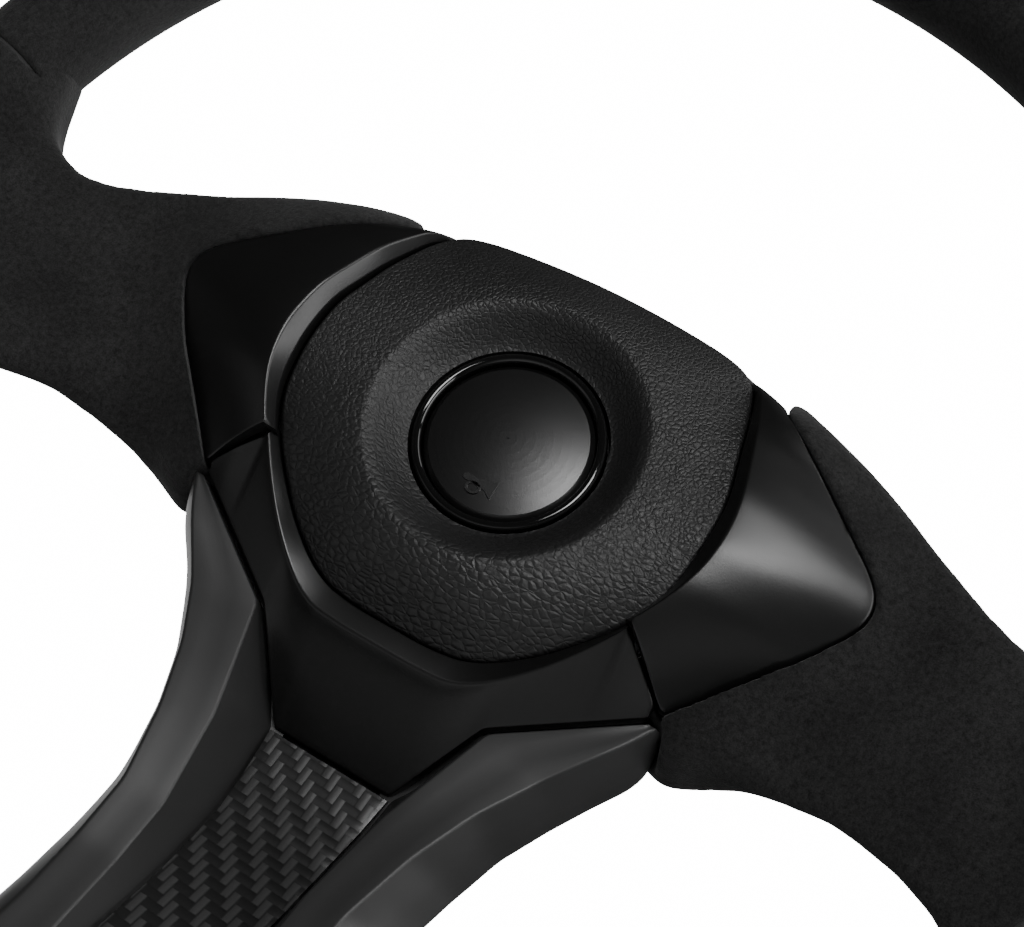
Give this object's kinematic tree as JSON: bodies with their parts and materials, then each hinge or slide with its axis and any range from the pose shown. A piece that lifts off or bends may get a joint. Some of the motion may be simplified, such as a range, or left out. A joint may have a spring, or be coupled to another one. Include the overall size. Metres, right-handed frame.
{
  "type": "quick release steering wheel",
  "caption": "Flat three spoke sports steering wheel with suede grip, grained horn pad and sprung horn button, on a sprung collar ball lock quick release hub for a six bolt column boss.",
  "frame": {"origin": "centre of the six bolt circle on the column side face of the quick release boss", "axes": "+Y towards the column, so the wheel faces -Y; +Z towards 12 o'clock; +X to the driver's right"},
  "size_m": [0.35, 0.104, 0.35],
  "materials": {
    "machined_aluminium": "fine machined",
    "anodised_aluminium": "black anodised, satin",
    "steel": "bright zinc or spring steel",
    "brass": "plain contact brass",
    "suede": "short nap suede",
    "foam": "moulded foam, matt",
    "grained_leather": "pebble grain",
    "satin_black": "satin",
    "anthracite": "satin metallic",
    "carbon_twill": "2 by 2 twill under clear coat",
    "gloss_black": "gloss",
    "copper_lead": "insulated lead"
  },
  "bodies": {
    "column_hub": {"column_boss": "machined_aluminium", "column_insulator": "gloss_black", "column_contact_inner": "brass", "column_contact_outer": "brass"},
    "wheel": {"armature": "machined_aluminium", "rim_core": "steel", "rim_foam": "foam", "rim_wrap_right": "suede", "rim_wrap_top_right": "suede", "rim_wrap_top": "suede", "rim_wrap_top_left": "suede", "rim_wrap_left": "suede", "rim_wrap_low_left": "suede", "rim_wrap_bottom": "suede", "rim_wrap_low_right": "suede", "spoke_cover_left": "suede", "spoke_cover_right": "suede", "bezel_left": "satin_black", "bezel_right": "satin_black", "lower_cover": "satin_black", "leg_left": "anthracite", "leg_right": "anthracite", "carbon_insert": "carbon_twill", "horn_pad": "grained_leather", "pad_carrier": "satin_black", "pad_posts": "steel", "pad_screws": "steel", "rear_ring": "satin_black", "horn_ring": "gloss_black", "horn_cup": "satin_black", "horn_contact_fixed": "brass", "horn_lead_live": "copper_lead", "horn_lead_earth": "copper_lead", "qr_socket": "anodised_aluminium", "socket_bolts": "steel", "stop_ring": "steel", "contact_carrier": "gloss_black", "contact_pin_live": "brass", "contact_pin_earth": "brass", "collar_spring": "steel", "horn_spring": "steel"},
    "collar": {"collar": "anodised_aluminium"},
    "horn_button": {"horn_cap": "satin_black", "horn_contact_moving": "brass"},
    "ball_1": {"ball_1": "steel"},
    "ball_2": {"ball_2": "steel"},
    "ball_3": {"ball_3": "steel"},
    "ball_4": {"ball_4": "steel"},
    "ball_5": {"ball_5": "steel"},
    "ball_6": {"ball_6": "steel"}
  },
  "joints": [
    {"name": "wheel_release", "type": "slide", "parent": "column_hub", "child": "wheel", "axis": [0, -1, 0], "range_m": [0, 0.035]},
    {"name": "collar_slide", "type": "slide", "parent": "wheel", "child": "collar", "axis": [0, -1, 0], "range_m": [0, 0.005], "stiffness_N_per_m": 4000, "springref_m": -0.002, "deforming": ["collar_spring"]},
    {"name": "horn_press", "type": "slide", "parent": "wheel", "child": "horn_button", "axis": [0, 1, 0], "range_m": [0, 0.0025], "stiffness_N_per_m": 2500, "springref_m": -0.0012, "deforming": ["horn_spring"]},
    {"name": "ball_1_slide", "type": "slide", "parent": "wheel", "child": "ball_1", "axis": [0.866, 0, 0.5], "range_m": [0, 0.0022]},
    {"name": "ball_2_slide", "type": "slide", "parent": "wheel", "child": "ball_2", "axis": [0, 0, 1], "range_m": [0, 0.0022]},
    {"name": "ball_3_slide", "type": "slide", "parent": "wheel", "child": "ball_3", "axis": [-0.866, 0, 0.5], "range_m": [0, 0.0022]},
    {"name": "ball_4_slide", "type": "slide", "parent": "wheel", "child": "ball_4", "axis": [-0.866, 0, -0.5], "range_m": [0, 0.0022]},
    {"name": "ball_5_slide", "type": "slide", "parent": "wheel", "child": "ball_5", "axis": [0, 0, -1], "range_m": [0, 0.0022]},
    {"name": "ball_6_slide", "type": "slide", "parent": "wheel", "child": "ball_6", "axis": [0.866, 0, -0.5], "range_m": [0, 0.0022]}
  ],
  "couplings": [
    {"joint": "ball_1_slide", "follows": "collar_slide", "ratio": 0.43},
    {"joint": "ball_2_slide", "follows": "collar_slide", "ratio": 0.43},
    {"joint": "ball_3_slide", "follows": "collar_slide", "ratio": 0.43},
    {"joint": "ball_4_slide", "follows": "collar_slide", "ratio": 0.43},
    {"joint": "ball_5_slide", "follows": "collar_slide", "ratio": 0.43},
    {"joint": "ball_6_slide", "follows": "collar_slide", "ratio": 0.43}
  ]
}
